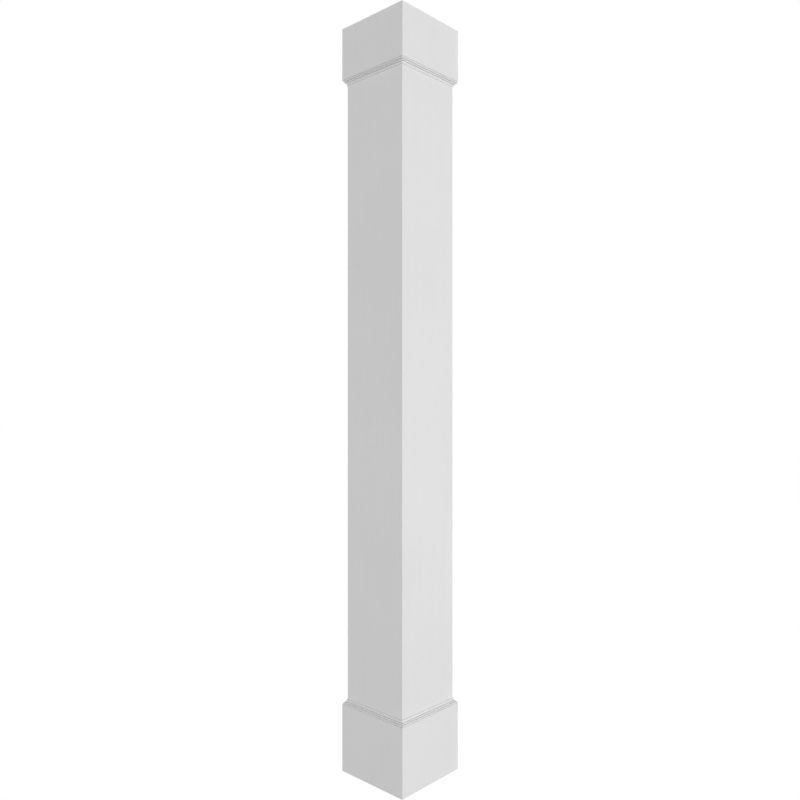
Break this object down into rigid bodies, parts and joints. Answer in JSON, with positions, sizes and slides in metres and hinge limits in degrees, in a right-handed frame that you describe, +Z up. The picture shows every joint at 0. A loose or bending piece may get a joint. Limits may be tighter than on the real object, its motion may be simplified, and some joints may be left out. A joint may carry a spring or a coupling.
{
  "type": "square column",
  "caption": "Square hollow porch column in white cellular PVC, with a plain boxed capital, a taller boxed base and a stepped moulding where each meets the shaft.",
  "frame": {"origin": "on the column's axis, at the bottom of its foot", "axes": "+Z up along the column, from the base to the capital; +X and +Y square to its faces; the front faces -Y"},
  "size_m": [0.2698, 0.2698, 2.4384],
  "materials": {
    "pvc_board": "smooth white cellular PVC sheet, satin",
    "pvc_moulding": "extruded white cellular PVC moulding, satin"
  },
  "bodies": {
    "root": {"shaft_board_front": "pvc_board", "shaft_board_right": "pvc_board", "shaft_board_back": "pvc_board", "shaft_board_left": "pvc_board", "base_board_front": "pvc_board", "base_board_right": "pvc_board", "base_board_back": "pvc_board", "base_board_left": "pvc_board", "base_moulding_front": "pvc_moulding", "base_moulding_right": "pvc_moulding", "base_moulding_back": "pvc_moulding", "base_moulding_left": "pvc_moulding", "capital_board_front": "pvc_board", "capital_board_right": "pvc_board", "capital_board_back": "pvc_board", "capital_board_left": "pvc_board", "capital_moulding_front": "pvc_moulding", "capital_moulding_right": "pvc_moulding", "capital_moulding_back": "pvc_moulding", "capital_moulding_left": "pvc_moulding"}
  },
  "joints": []
}
